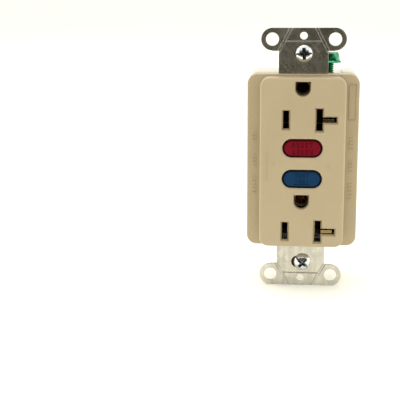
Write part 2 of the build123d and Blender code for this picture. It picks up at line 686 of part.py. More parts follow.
def button_spring(place, travel):
    """The room that a button's spring takes when the button is fully pressed."""
    end = WELL_BOTTOM - travel - SPRING_END_GAP
    return rod_y(*place, BUTTON_BACK, end, SPRING_R[1]) - rod_y(*place, BUTTON_BACK, end, SPRING_R[0])


def test_blade():
    """The springy blade that the test button's stem bends towards the test contact."""
    x = TEST_STEM_X
    blade = block((x - 1.5, x + 1.5), (12.4, 12.8), (TEST_BLADE_HINGE_Z - 0.3, -2.0))
    return blade + rod_x(x - 1.5, x + 1.5, 12.6, TEST_BLADE_HINGE_Z, HINGE_ROLL_R)


def test_contact():
    x = TEST_STEM_X
    contact = block((x - 1.0, x + 1.0), (17.2, BOARD_Y[0]), (-4.0, -2.0))
    return contact + rod_y(x, -3.0, 16.7, 17.2, 0.8)


# ---- trip mechanism ----


def contact_arm(side):
    """The moving half of one pole, from its hinge line to its contact button."""
    x, z = FIXED_CONTACT_AT
    inner = (CONDUCTOR_X - 0.6, CONDUCTOR_X + 0.6)
    top_z = ARM_HINGE_Z - 0.1
    arm = block(mirrored((inner[0], x + 1.0), side), ARM_Y, (top_z - 1.3, top_z))
    arm += block(mirrored((x - 0.9, x + 1.0), side), ARM_Y, (-1.0, top_z))
    arm += rod_x(side * (inner[1] + 0.1), side * (x + 1.0), sum(ARM_Y) / 2, ARM_HINGE_Z, HINGE_ROLL_R)
    return arm + rod_y(side * x, z, 13.2, ARM_Y[0], CONTACT_BUTTON_R)


def contact_carriage():
    """The block that holds both contact arms against the fixed contacts."""
    carriage = block((-9.6, 9.6), CARRIAGE_Y, CARRIAGE_Z)
    for side in (1, -1):
        carriage += block(mirrored((3.6, 4.6), side), (CARRIAGE_Y[1] - 0.5, 17.1), (3.4, 7.4))
    return carriage - rod_y(*RESET_AT, 14, 18, PIN_R + 0.3)


def latch_plate():
    """The sliding plate under the carriage, hooked over the plunger's neck at its lower end."""
    latch = block((-2.8, 2.8), LATCH_Y, (-9.7, 10.4))
    latch += block((-2.8, 2.8), (12.2, LATCH_Y[1]), (-9.7, -9.0))
    hole = Pos(RESET_AT[0], RESET_AT[1] + 0.9) * Rot(0, 0, 90) * SlotOverall(5.4, 3.6)
    latch -= along_y(hole, 16, 18)
    return latch - block((-1.2, 1.2), (12, 15.7), (-10, -8.5))


def solenoid_frame():
    low, high = SOLENOID_Z
    frame = block((-5.2, 5.2), (18.65, 19.4), (low, high))
    for z in ((low, low + 0.8), (high - 0.8, high)):
        frame += block((-5.2, 5.2), (9.4, 19.4), z)
    return frame - rod_z(0, SOLENOID_Y, high - 1, high + 1, PLUNGER_R + 0.15)


def solenoid_bobbin():
    low, high = SOLENOID_Z[0] + 0.85, SOLENOID_Z[1] - 0.85
    bobbin = rod_z(0, SOLENOID_Y, low, high, 2.4)
    for z in ((low, low + 0.7), (high - 0.7, high)):
        bobbin += rod_z(0, SOLENOID_Y, *z, BOBBIN_R)
    return bobbin - rod_z(0, SOLENOID_Y, low + 0.5, high + 1, PLUNGER_R + 0.08)


def solenoid_coil():
    low, high = SOLENOID_Z[0] + 1.6, SOLENOID_Z[1] - 1.6
    return rod_z(0, SOLENOID_Y, low, high, COIL_R) - rod_z(0, SOLENOID_Y, low, high, 2.45)


def solenoid_plunger():
    plunger = rod_z(0, SOLENOID_Y, -27.0, -10.0, PLUNGER_R)
    plunger += rod_z(0, SOLENOID_Y, -10.6, -10.0, 2.2)
    plunger += rod_z(0, SOLENOID_Y, -10.0, -8.9, 1.0)
    return plunger + rod_z(0, SOLENOID_Y, -8.9, -8.1, 2.0)


def plunger_spring():
    """The room that the plunger's return spring takes when the plunger is pulled in."""
    return rod_z(0, SOLENOID_Y, -11.5, -10.6, 2.2) - rod_z(0, SOLENOID_Y, -11.5, -10.6, PLUNGER_R)


# ---- electronics ----


def circuit_board():
    half_width, half_height = BOARD_HALF_WIDTH, BOARD_HALF_HEIGHT
    board = block((-half_width, half_width), BOARD_Y, (-half_height, half_height))
    wide = BOARD_WIDE_HALF_WIDTH
    board += block((-wide, wide), BOARD_Y, (-12.4, 12.4))
    board -= rod_y(*RESET_AT, 19, 22, 2.2)
    for side, z in bays():
        board -= block(mirrored((11.8, 13.5), side), (19, 22), (z - 1.4, z + 1.4))
    return board


def toroid(front, rear):
    """A current transformer: a wound ring that the line conductors pass through."""
    ring = rod_y(0, TOROID_Z, front, rear, TOROID_R) - rod_y(0, TOROID_Z, front, rear, TOROID_BORE_R)
    round_edges = ring.edges().filter_by(GeomType.CIRCLE)
    return fillet(round_edges, 0.9)


def line_conductors():
    """Two bars that rise from the board through the transformers and end at the contact arms."""
    bars = []
    for side in (1, -1):
        x = mirrored((CONDUCTOR_X - 0.5, CONDUCTOR_X + 0.5), side)
        bar = block(x, (11.9, BOARD_Y[0]), (TOROID_Z - 0.5, TOROID_Z + 0.5))
        bar += block(x, (11.9, 12.4), (ARM_HINGE_Z, TOROID_Z + 0.5))
        bars.append(bar + block(x, (11.9, ARM_Y[1]), (ARM_HINGE_Z, ARM_HINGE_Z + 0.6)))
    return Compound(children=bars)


def control_chip():
    """A dual in-line chip with four legs on each long side."""
    rear = BOARD_Y[1]
    chip = block((-10.6, -1.2), (rear + 0.5, rear + 3.8), (-1.0, 5.4))
    legs = []
    for pin in range(4):
        x = -9.7 + 2.54 * pin
        for span in ((-1.7, -1.0), (5.4, 6.1)):
            legs.append(block((x - 0.25, x + 0.25), (rear, rear + 2.1), span))
    return chip + legs


def thyristor():
    rear = BOARD_Y[1]
    body = rod_y(-8.0, -18.0, rear + 0.2, rear + 4.6, 2.4) - block((-11, -5), (rear, rear + 5), (-17.0, -14))
    leads = [block((x - 0.2, x + 0.2), (rear, rear + 0.2), (-18.2, -17.8)) for x in (-9.27, -8.0, -6.73)]
    return body + leads


def surge_varistor():
    rear = BOARD_Y[1]
    disc = fillet(rod_y(6.5, -20.0, rear + 0.5, rear + 4.1, 5.0).edges(), 1.2)
    leads = [block((x - 0.3, x + 0.3), (rear, rear + 0.6), (-20.3, -19.7)) for x in (4.0, 9.0)]
    return disc + leads


def capacitors():
    rear = BOARD_Y[1]
    bodies = []
    for x, z in ((5.5, 0.0), (11.5, 6.5), (13.5, -4.5)):
        body = block((x - 1.8, x + 1.8), (rear, rear + 4.0), (z - 1.5, z + 1.5))
        bodies.append(fillet(body.edges().filter_by(Axis.Y), 0.6))
    return Compound(children=bodies)


def axial_part(x, z, length, radius, lead_r=0.3):
    """A resistor or diode lying along X, with bent-down leads."""
    y = BOARD_Y[1] + radius + 0.15
    body = rod_x(x - length / 2, x + length / 2, y, z, radius)
    body = fillet(body.edges(), radius * 0.4)
    for side in (1, -1):
        lead_x = x + side * (length / 2 + 1.0)
        body += rod_x(x + side * (length / 2 - 0.3), lead_x, y, z, lead_r)
        body += rod_y(lead_x, z, BOARD_Y[1], y, lead_r)
    return body


def resistors():
    return Compound(children=[axial_part(-14.0, z, 4.2, 1.0) for z in (-9.0, -5.5, 8.0)]
                    + [axial_part(0, z, 6.0, 1.2) for z in (12.0, 16.0)])


def diodes():
    return Compound(children=[axial_part(x, z, 4.0, 1.3) for x in (-6.5, 3.5) for z in (22.0, 26.5)])


def pieces():
    """Every piece of the receptacle, by name."""
    parts = {
        "front_cover": front_cover(),
        "mounting_strap": mounting_strap(),
        "rear_housing": rear_housing(),
        "assembly_screws": assembly_screws(),
        "contact_deck": contact_deck(),
        "upper_ground_contact": ground_contact(OUTLET_GROUND_Z[0]),
        "lower_ground_contact": ground_contact(OUTLET_GROUND_Z[1]),
        "contact_rivets": contact_rivets(),
        "hot_contact_strip": contact_strip(-1, HOT_X),
        "neutral_contact_strip": contact_strip(1, NEUTRAL_X),
        "ground_screw": ground_screw(),
        "reset_button": button(RESET_AT),
        "reset_pin": reset_pin(),
        "reset_spring": button_spring(RESET_AT, RESET_TRAVEL),
        "test_button": test_button(),
        "test_spring": button_spring(TEST_AT, TEST_TRAVEL),
        "test_blade": test_blade(),
        "test_contact": test_contact(),
        "contact_carriage": contact_carriage(),
        "latch_plate": latch_plate(),
        "solenoid_frame": solenoid_frame(),
        "solenoid_bobbin": solenoid_bobbin(),
        "solenoid_coil": solenoid_coil(),
        "solenoid_plunger": solenoid_plunger(),
        "plunger_spring": plunger_spring(),
        "circuit_board": circuit_board(),
        "ground_fault_transformer": toroid(12.6, 15.5),
        "neutral_transformer": toroid(15.9, 18.9),
        "line_conductors": line_conductors(),
        "control_chip": control_chip(),
        "thyristor": thyristor(),
        "surge_varistor": surge_varistor(),
        "capacitors": capacitors(),
        "resistors": resistors(),
        "diodes": diodes(),
        "test_resistor": axial_part(0.5, -8.5, 7.0, 1.6),
    }
    for side_name, side in SIDES.items():
        parts[f"{side_name}_contact_arm"] = contact_arm(side)
        for end_name, end in ENDS.items():
            name = f"{end_name}_{side_name}"
            parts[f"{name}_terminal"] = terminal(side, end)
            parts[f"{name}_screw"] = terminal_screw(side, end)
            parts[f"{name}_pressure_plate"] = pressure_plate(side, end)
    for end_name, end in (("upper", 1), ("lower", -1)):
        parts[f"{end_name}_mounting_screw"] = mounting_screw(end)
        parts[f"{end_name}_screw_retainer"] = screw_retainer(end)
    return parts


os.makedirs("parts", exist_ok=True)
for name, piece in pieces().items():
    export_step(piece, f"parts/{name}.step")
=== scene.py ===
import json
import math

import bmesh
import bpy
from mathutils import Matrix, Vector


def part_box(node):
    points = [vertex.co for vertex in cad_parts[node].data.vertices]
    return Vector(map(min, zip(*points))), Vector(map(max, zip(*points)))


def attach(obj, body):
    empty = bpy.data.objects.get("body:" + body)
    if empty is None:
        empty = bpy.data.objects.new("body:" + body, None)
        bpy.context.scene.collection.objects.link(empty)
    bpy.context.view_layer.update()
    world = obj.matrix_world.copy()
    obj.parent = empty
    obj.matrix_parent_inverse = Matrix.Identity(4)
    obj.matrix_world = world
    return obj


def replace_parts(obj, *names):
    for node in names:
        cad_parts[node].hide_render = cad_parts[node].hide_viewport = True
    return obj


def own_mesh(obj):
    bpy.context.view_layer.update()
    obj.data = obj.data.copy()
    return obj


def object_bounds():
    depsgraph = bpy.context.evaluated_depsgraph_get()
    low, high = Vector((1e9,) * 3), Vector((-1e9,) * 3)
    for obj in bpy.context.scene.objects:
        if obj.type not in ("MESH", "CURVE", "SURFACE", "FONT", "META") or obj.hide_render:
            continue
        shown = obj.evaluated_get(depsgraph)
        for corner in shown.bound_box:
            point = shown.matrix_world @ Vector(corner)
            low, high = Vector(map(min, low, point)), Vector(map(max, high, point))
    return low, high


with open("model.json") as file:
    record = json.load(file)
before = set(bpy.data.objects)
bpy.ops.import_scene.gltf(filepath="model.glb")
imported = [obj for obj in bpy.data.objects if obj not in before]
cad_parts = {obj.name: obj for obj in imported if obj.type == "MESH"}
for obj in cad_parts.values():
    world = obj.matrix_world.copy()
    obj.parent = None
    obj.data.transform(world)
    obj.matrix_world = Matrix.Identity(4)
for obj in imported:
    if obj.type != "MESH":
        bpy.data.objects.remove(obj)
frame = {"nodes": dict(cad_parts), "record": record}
CAD_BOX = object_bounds()
NODES = frame["nodes"]
RECORD = frame["record"]
MM = 0.001

# A ground-fault outlet that faces the room. X runs to the right, Y into the wall and Z up. Sizes
# and places are in metres unless a name says otherwise.

# Camera and floor
CAMERA_AT = (0.00113, -0.38873, 0.07256)
CAMERA_LOOK = (-0.10407, 0.96907, -0.22376)
CAMERA_UP = (-0.01730, 0.22318, 0.97462)
CAMERA_LENS_MM = 89.5
SENSOR_MM = 36.0
FLOOR_SIZE = 60.0

# Surfaces that face the room
FLANGE_FRONT = -1.8 * MM
FACE_FRONT = -7.9 * MM

# Shade where little light reaches: the openings inside the rim of the face, whose middle and half
# sizes along X and Z are given, and the gap around each button. The shade grows over the fade and
# leaves a share of the colour.
FACE_MIDDLE = (0.1 * MM, -0.35 * MM)
FACE_INSIDE = (15.3 * MM, 32.2 * MM)
WELL_FRONT = -6.6 * MM
WELL_FADE = 0.8 * MM
WELL_SHARE = 0.1
GAP_FRONT = -7.69 * MM
GAP_FADE = 0.3 * MM
GAP_SHARE = 0.25

# Joining of corners that lie in one place, and rounding of the strap's edges
WELD = 0.002 * MM
FINE_WELD = 0.001 * MM
CUT_WELD = 0.0001 * MM
STRAP_BEVEL = 0.12 * MM

# Threads: one profile for all screws, which narrows over the point
THREAD_PITCH = 0.794 * MM
THREAD_DEPTH = 0.6 * THREAD_PITCH
THREAD_SIDES = 36
THREAD_OVERLAP = 0.1 * MM
POINT_TAPER = 0.5
TIP_TAPER = 0.4

# Box mounting screws: a domed head and a thread that starts behind the neck
HEAD_SEAT = -1.5 * MM
HEAD_CURVE = 4.9 * MM
# How far the painted shade in a head's recess reaches from the middle, and how far under the top of the head
# it begins.
HEAD_RECESS_REACH = 2.85 * MM
RECESS_TOP = 0.35 * MM
MOUNTING_SHOULDER = 1.2 * MM
MOUNTING_THREAD_R = 1.7 * MM
MOUNTING_POINT = 0.9 * MM

# Terminal screws, measured out to each side from the middle
TERMINAL_SEAT = 18.0 * MM
TERMINAL_TIP = 14.45 * MM
TERMINAL_THREAD_R = 2.08 * MM
TERMINAL_POINT = 0.4 * MM
# How far the painted shade in a terminal screw's recess reaches from the middle, and how deep it goes.
TERMINAL_RECESS_REACH = 3.1 * MM
TERMINAL_RECESS_DEPTH = 1.3 * MM

# Ground screw, upright with its head at the top
GROUND_SEAT = 37.5 * MM
GROUND_THREAD_R = 2.41 * MM
GROUND_POINT = 0.8 * MM

# Springs, and how far the part that presses each of them travels
HELIX_STEPS = 28
CLOSED_TURN_RISE = 1.05
BUTTON_SPRING_R = 2.4 * MM
BUTTON_SPRING_WIRE = 0.5 * MM
BUTTON_SPRING_TURNS = 7
WELL_BOTTOM = 6.0 * MM
RESET_TRAVEL = 2.5 * MM
TEST_TRAVEL = 2.0 * MM
PLUNGER_SPRING_R = 1.93 * MM
PLUNGER_SPRING_WIRE = 0.16 * MM
PLUNGER_SPRING_TURNS = 5
PLUNGER_SPRING_LOW = -13.4 * MM

# Windings
WIRE = 0.4 * MM
WIRE_SIDES = 6
COIL_STEPS = 32
BOBBIN_R = 2.45 * MM
COIL_R = 4.1 * MM
TRANSFORMER_INNER_R = 5.0 * MM
TRANSFORMER_OUTER_R = 10.0 * MM
TRANSFORMER_TURNS = 72
TRANSFORMER_STEPS = 16

# Words cut into the buttons, and blank raised marks
LETTER_HEIGHT = 1.95 * MM
LETTER_DEPTH = 0.26 * MM
LETTER_SWELL = 0.03 * MM
CAPITAL_SHARE = 0.72
LINE_SHIFT = 1.38 * MM
RESET_MIDDLE = (0.15 * MM, 5.7 * MM)
TEST_MIDDLE = (0.1 * MM, -6.4 * MM)
RESET_SPACING = 1.22
TEST_SPACING = 1.05
FLANGE_MARK_HEIGHT = 0.3 * MM
FACE_MARK_HEIGHT = 0.1 * MM


# ---- small helpers ----


def new_object(name, data):
    piece = bpy.data.objects.new(name, data)
    bpy.context.scene.collection.objects.link(piece)
    return piece


def mesh_from(name, verts, faces):
    mesh = bpy.data.meshes.new(name)
    mesh.from_pydata(verts, [], faces)
    mesh.validate()
    mesh.update()
    return mesh


def finish_bmesh(bm, name):
    bmesh.ops.recalc_face_normals(bm, faces=bm.faces)
    mesh = bpy.data.meshes.new(name)
    bm.to_mesh(mesh)
    bm.free()
    return mesh


def join_meshes(name, *meshes):
    """One mesh from several, which are then removed."""
    bm = bmesh.new()
    for mesh in meshes:
        bm.from_mesh(mesh)
        bpy.data.meshes.remove(mesh)
    return finish_bmesh(bm, name)


def smooth_by_angle(piece, degrees):
    """Smooth faces, with edges sharper than an angle kept sharp."""
    mesh = piece.data
    mesh.polygons.foreach_set("use_smooth", [True] * len(mesh.polygons))
    bm = bmesh.new()
    bm.from_mesh(mesh)
    limit = math.radians(degrees)
    for edge in bm.edges:
        edge.smooth = len(edge.link_faces) == 2 and edge.calc_face_angle(0) < limit
    bm.to_mesh(mesh)
    bm.free()


def node_centre(name):
    low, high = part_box(name)
    return (low + high) / 2


def span_of(name, axis):
    low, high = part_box(name)
    return low[axis], high[axis]


def body_of(name):
    """The body that a CAD node rides on."""
    return next(body for body, nodes in RECORD["behaviour"]["bodies"].items() if name in nodes)


def axes_around(axis):
    """The two other axes."""
    return [i for i in range(3) if i != axis]


def tube_mesh(name, path, radius, sides, closed=False):
    """A round tube along a list of points."""
    points = [Vector(p) for p in path]
    count = len(points)
    verts, faces = [], []
    normal = None
    for i, point in enumerate(points):
        if closed:
            tangent = points[(i + 1) % count] - points[i - 1]
        else:
            tangent = points[min(i + 1, count - 1)] - points[max(i - 1, 0)]
        tangent.normalize()
        if normal is None:
            normal = tangent.orthogonal().normalized()
        normal = (normal - tangent * normal.dot(tangent)).normalized()
        binormal = tangent.cross(normal)
        for k in range(sides):
            angle = 2 * math.pi * k / sides
            verts.append(point + radius * (math.cos(angle) * normal + math.sin(angle) * binormal))
    rings = count if closed else count - 1
    for i in range(rings):
        for k in range(sides):
            a, b = i * sides, ((i + 1) % count) * sides
            n = (k + 1) % sides
            faces.append((a + k, a + n, b + n, b + k))
    if not closed:
        faces.append(tuple(reversed(range(sides))))
        faces.append(tuple(range((count - 1) * sides, count * sides)))
    return mesh_from(name, verts, faces)


# ---- materials ----


def rgba(colour):
    return (*colour, 1)


def shade(colour, factor):
    return tuple(min(1, c * factor) for c in colour)


class Nodes:
    """A short way to write a node tree."""

    def __init__(self, name):
        self.material = bpy.data.materials.new(name)
        self.material.use_nodes = True
        self.tree = self.material.node_tree
        self.shader = self.tree.nodes["Principled BSDF"]
        self.place = self.add("ShaderNodeTexCoord").outputs["Object"]

    def add(self, kind, **values):
        """A new node. A value goes to the socket of its name, or else to the node's property."""
        node = self.tree.nodes.new(kind)
        for key, value in values.items():
            if key in node.inputs:
                self.feed(node.inputs[key], value)
            else:
                setattr(node, key, value)
        return node

    def feed(self, socket, value):
        if isinstance(value, bpy.types.NodeSocket):
            self.tree.links.new(value, socket)
        else:
            socket.default_value = value

    def set(self, **values):
        """Feeds the shader, with an underscore for each space in a socket's name."""
        for key, value in values.items():
            self.feed(self.shader.inputs[key.replace("_", " ")], value)

    def along(self, axis):
        """The place along one axis of the object."""
        return self.add("ShaderNodeSeparateXYZ", Vector=self.place).outputs[axis]

    def math(self, operation, *values):
        node = self.add("ShaderNodeMath", operation=operation)
        for socket, value in zip(node.inputs, values):
            self.feed(socket, value)
        return node.outputs[0]

    def noise(self, scale, detail, stretch=(1, 1, 1), turn=0.0):
        mapping = self.add("ShaderNodeMapping", Vector=self.place, Scale=stretch, Rotation=(0, turn, 0))
        texture = self.add("ShaderNodeTexNoise", Vector=mapping.outputs[0], Scale=scale, Detail=detail)
        return texture.outputs["Fac"]

    def streaks(self, scale, length, turn):
        """Noise drawn out into streaks that lean by an angle from upright."""
        mapping = self.add("ShaderNodeMapping", vector_type="TEXTURE", Vector=self.place,
                           Rotation=(0, turn, 0), Scale=(1, 1, length))
        texture = self.add("ShaderNodeTexNoise", Vector=mapping.outputs[0], Scale=scale, Detail=1.0)
        return texture.outputs["Fac"]

    def ramp(self, fac, stops, interpolation="LINEAR"):
        ramp = self.add("ShaderNodeValToRGB", Fac=fac)
        ramp.color_ramp.interpolation = interpolation
        elements = ramp.color_ramp.elements
        while len(elements) < len(stops):
            elements.new(0.5)
        for element, (position, colour) in zip(elements, stops):
            element.position = position
            element.color = rgba(colour)
        return ramp.outputs["Color"]

    def spread(self, fac, low, high, start=0.3, end=0.7):
        """Stretches the stretch of fac from start to end over low to high."""
        span = self.add("ShaderNodeMapRange")
        for key, value in (("Value", fac), ("From Min", start), ("From Max", end),
                           ("To Min", low), ("To Max", high)):
            self.feed(span.inputs[key], value)
        return span.outputs["Result"]

    def mix(self, fac, first, second, blend="MIX"):
        node = self.add("ShaderNodeMix", data_type="RGBA", blend_type=blend)
        for socket, value in zip((node.inputs[0], node.inputs[6], node.inputs[7]), (fac, first, second)):
            self.feed(socket, value)
        return node.outputs[2]

    def bump(self, height, strength, distance, below=None):
        node = self.add("ShaderNodeBump", Height=height, Strength=strength, Distance=distance)
        if below is not None:
            self.feed(node.inputs["Normal"], below)
        return node.outputs["Normal"]


def unlit_gap(m, colour):
    """The colour, darker on a button's walls and in its letters, behind its front."""
    dimming = m.spread(m.along(1), 1.0, GAP_SHARE, GAP_FRONT, GAP_FRONT + GAP_FADE)
    return m.mix(1.0, colour, dimming, "MULTIPLY")


def unlit_wells(m, colour):
    """The colour, darker on the walls of the openings that go in behind the raised face."""
    mask = m.spread(m.along(1), 0.0, 1.0, WELL_FRONT, WELL_FRONT + WELL_FADE)
    for axis, middle, reach in zip((0, 2), FACE_MIDDLE, FACE_INSIDE):
        mask = m.math("MULTIPLY", mask, m.math("COMPARE", m.along(axis), middle, reach))
    dark = m.mix(1.0, colour, rgba((WELL_SHARE, WELL_SHARE, WELL_SHARE)), "MULTIPLY")
    return m.mix(mask, colour, dark)


def moulded_plastic(name, colour, roughness, grain, mottling, specular=0.22, subsurface=0.0,
                    in_gap=False, wells=False):
    """Moulded plastic: soft colour clouds, a fine spark-eroded grain and slight gloss changes."""
    m = Nodes(name)
    clouds = m.noise(60, 3)
    fine = m.noise(2600, 3)
    wide = m.noise(220, 5)
    colour_out = m.ramp(clouds, [(0.3, shade(colour, 1 - mottling)), (0.7, shade(colour, 1 + mottling))])
    speckle = m.spread(m.noise(5200, 1), 0.96, 1.04, 0.35, 0.65)
    colour_out = m.mix(1.0, colour_out, speckle, "MULTIPLY")
    if in_gap:
        colour_out = unlit_gap(m, colour_out)
    if wells:
        colour_out = unlit_wells(m, colour_out)
    m.set(Base_Color=colour_out, Roughness=m.spread(wide, roughness - 0.05, roughness + 0.08))
    m.set(Normal=m.bump(wide, 0.05, 0.0002, m.bump(fine, grain, 0.00002)))
    m.set(Specular_IOR_Level=specular)
    if subsurface:
        m.set(Subsurface_Weight=subsurface, Subsurface_Radius=(0.0012, 0.0008, 0.0004), Subsurface_Scale=1.0)
    return m.material


def plated_metal(name, colour, roughness, scratches, spangle, scuffs=0.0):
    """Bright metal: crossed fine scratches, a cloudy crystal pattern and duller patches."""
    m = Nodes(name)
    lines_a = m.noise(900, 2, (1.0, 1.0, 0.035), 0.7)
    lines_b = m.noise(1100, 2, (0.03, 1.0, 1.0), 0.25)
    crystals = m.add("ShaderNodeTexVoronoi", Vector=m.place, Scale=420.0, Randomness=1.0).outputs["Color"]
    grey = m.add("ShaderNodeRGBToBW", Color=crystals).outputs[0]
    clouds = m.noise(90, 4)
    colour_out = m.ramp(clouds, [(0.25, shade(colour, 0.86)), (0.6, colour), (0.8, shade(colour, 1.06))])
    colour_out = m.mix(spangle, colour_out, m.spread(grey, 0.75, 1.15, 0.2, 0.8), "MULTIPLY")
    streak = m.spread(lines_a, 0.8, 1.06, 0.3, 0.62)
    colour_out = m.mix(scratches * 0.6, colour_out, streak, "MULTIPLY")
    dull = m.spread(m.noise(150, 5), roughness * 0.8, roughness * 1.35)
    m.set(Base_Color=colour_out, Metallic=1.0, Roughness=dull)
    if scuffs:
        m.set(Metallic=scuffed(m, scuffs))
    first = m.bump(lines_a, 0.12 * scratches, 0.00003)
    m.set(Normal=m.bump(lines_b, 0.12 * scratches, 0.00003, first))
    return m.material


def scuffed(m, share):
    """Full metal, except in thin crossed scuffs that scatter a share of the light as paint does."""
    either = m.math("MAXIMUM", m.streaks(4300, 60, 0.85), m.streaks(4300, 60, -0.7))
    return m.spread(either, 1.0, 1.0 - share, 0.65, 0.75)


def lacquered(name, colour, roughness, mottling, bump, metallic=0.0, coat=0.4):
    """A dipped or dyed coating that pools slightly."""
    m = Nodes(name)
    pools = m.noise(260, 4)
    colour_out = m.ramp(pools, [(0.3, shade(colour, 1 - mottling)), (0.7, shade(colour, 1 + mottling))])
    m.set(Base_Color=colour_out, Roughness=m.spread(m.noise(700, 3), roughness * 0.8, roughness * 1.4))
    m.set(Metallic=metallic, Coat_Weight=coat, Coat_Roughness=0.12)
    m.set(Normal=m.bump(m.noise(900, 3), bump, 0.00004))
    return m.material


def banded_lacquer(name, colour, bands, pitch):
    """Resistor lacquer with colour bands that repeat along X."""
    m = Nodes(name)
    step = 1 / (2 * len(bands) + 1)
    stops = []
    for i, band in enumerate(bands):
        stops.append(((2 * i) * step, colour))
        stops.append(((2 * i + 1) * step, band))
    stops.append((2 * len(bands) * step, colour))
    part = m.math("FRACT", m.math("MULTIPLY", m.along(0), 1 / pitch))
    banded = m.ramp(part, stops, "CONSTANT")
    m.set(Base_Color=m.mix(0.15, banded, m.noise(900, 3), "MULTIPLY"), Roughness=0.35)
    m.set(Normal=m.bump(m.noise(600, 3), 0.15, 0.00005))
    return m.material


def fibre(name, colour):
    """Vulcanised fibre: short matted fibres and a dry, uneven surface."""
    m = Nodes(name)
    strands = m.noise(700, 6, (1, 1, 0.2), 0.4)
    crossed = m.noise(700, 6, (0.2, 1, 1), -0.2)
    colour_out = m.ramp(strands, [(0.3, shade(colour, 0.7)), (0.7, shade(colour, 1.25))])
    colour_out = m.mix(0.4, colour_out, m.spread(crossed, 0.7, 1.2), "MULTIPLY")
    m.set(Base_Color=colour_out, Roughness=0.75)
    m.set(Normal=m.bump(crossed, 0.3, 0.00006, m.bump(strands, 0.3, 0.00006)))
    return m.material


def laminate(name, colour):
    """Solder mask over faint copper tracks and a glass weave."""
    m = Nodes(name)
    weave = m.add("ShaderNodeTexWave", Vector=m.place, Scale=700.0, Distortion=0.4).outputs["Fac"]
    tracks = m.add("ShaderNodeTexBrick", Vector=m.place, Scale=260.0).outputs["Fac"]
    colour_out = m.ramp(tracks, [(0.4, colour), (0.6, shade(colour, 1.8))])
    colour_out = m.mix(0.12, colour_out, weave, "OVERLAY")
    m.set(Base_Color=colour_out, Roughness=0.32, Coat_Weight=0.3)
    m.set(Normal=m.bump(tracks, 0.4, 0.00004, m.bump(weave, 0.1, 0.00002)))
    return m.material


def wound_wire(name, colour):
    """Enamelled copper wire: warm metal under a clear varnish, darker where turns were rubbed."""
    m = Nodes(name)
    rub = m.noise(500, 4)
    colour_out = m.ramp(rub, [(0.3, shade(colour, 0.7)), (0.65, colour), (0.8, shade(colour, 1.2))])
    m.set(Base_Color=colour_out, Metallic=0.85, Roughness=m.spread(rub, 0.22, 0.4), Coat_Weight=0.6)
    m.set(Normal=m.bump(m.noise(2400, 2), 0.1, 0.00002))
    return m.material


# Each finish is the function that makes it, its colour, and the numbers and options of that function
# in its own order: roughness, grain and mottling of a plastic; roughness, scratches and spangle of a
# metal; roughness, mottling and bump of a lacquer; bands and their pitch of a resistor.
RESISTOR_BANDS = ((0.30, 0.02, 0.01), (0.02, 0.01, 0.01), (0.45, 0.28, 0.02))
ON_BUTTON = {"specular": 0.1, "in_gap": True}
ON_COVER = {"specular": 0.5, "subsurface": 0.08, "wells": True}
FINISHES = {
    "ivory_nylon": (moulded_plastic, (0.455, 0.366, 0.225), (0.34, 0.16, 0.03), ON_COVER),
    "white_thermoset": (moulded_plastic, (0.64, 0.62, 0.54), (0.5, 0.2, 0.03), {}),
    "dark_thermoset": (moulded_plastic, (0.02, 0.02, 0.022), (0.55, 0.25, 0.2), {}),
    "white_plastic": (moulded_plastic, (0.78, 0.77, 0.72), (0.42, 0.15, 0.04), {}),
    "red_plastic": (moulded_plastic, (0.165, 0.001, 0.009), (0.42, 0.2, 0.08), ON_BUTTON),
    "blue_plastic": (moulded_plastic, (0.004, 0.034, 0.095), (0.42, 0.2, 0.08), ON_BUTTON),
    "black_epoxy": (moulded_plastic, (0.018, 0.018, 0.019), (0.6, 0.5, 0.2), {}),
    "zinc_steel": (plated_metal, (0.65, 0.62, 0.54), (0.25, 1.0, 0.3), {"scuffs": 0.2}),
    "zinc_screw": (plated_metal, (0.84, 0.87, 0.88), (0.16, 0.3, 0.08), {}),
    # Darker copies of the screw metals, which are painted shade in the recesses of the screw heads.
    "brass_recess": (plated_metal, (0.28, 0.19, 0.07), (0.35, 0.3, 0.08), {}),
    "zinc_recess": (plated_metal, (0.20, 0.22, 0.24), (0.32, 0.3, 0.08), {}),
    "spring_steel": (plated_metal, (0.55, 0.55, 0.56), (0.25, 0.4, 0.05), {}),
    "spring_brass": (plated_metal, (0.80, 0.58, 0.26), (0.25, 0.5, 0.08), {}),
    "contact_brass": (plated_metal, (0.60, 0.42, 0.19), (0.28, 0.8, 0.12), {}),
    "screw_brass": (plated_metal, (0.86, 0.64, 0.28), (0.2, 0.3, 0.08), {}),
    "green_steel": (lacquered, (0.03, 0.27, 0.12), (0.2, 0.25, 0.12), {"metallic": 1.0, "coat": 0.05}),
    "red_fibre": (fibre, (0.22, 0.02, 0.018), (), {}),
    "enamelled_wire": (wound_wire, (0.62, 0.22, 0.08), (), {}),
    "board_laminate": (laminate, (0.008, 0.12, 0.045), (), {}),
    "blue_epoxy": (lacquered, (0.015, 0.07, 0.26), (0.3, 0.12, 0.2), {}),
    "yellow_epoxy": (lacquered, (0.65, 0.36, 0.03), (0.3, 0.12, 0.2), {}),
    "tan_lacquer": (banded_lacquer, (0.55, 0.38, 0.2), (RESISTOR_BANDS, 3.5 * MM), {}),
}
MATERIALS = {
    name: make(name, colour, *numbers, **options)
    for name, (make, colour, numbers, options) in FINISHES.items()
}


def dress_nodes():
    """Every CAD node gets the material of its slot."""
    for part in RECORD["subparts"]:
        piece = NODES[part["node"]]
        piece.data.materials.clear()
        piece.data.materials.append(MATERIALS[part["material_slot"]])


def soften_edges(name, width):
    """Rounds a node's hard edges a little, so that they catch the light."""
    piece = NODES[name]
    weld = piece.modifiers.new("weld", "WELD")
    weld.merge_threshold = WELD
    bevel = piece.modifiers.new("edge", "BEVEL")
    bevel.width = width
    bevel.segments = 2
    bevel.limit_method = "ANGLE"
    bevel.angle_limit = math.radians(40)
    bevel.harden_normals = True


# ---- shapes that the CAD parts only stand in for ----


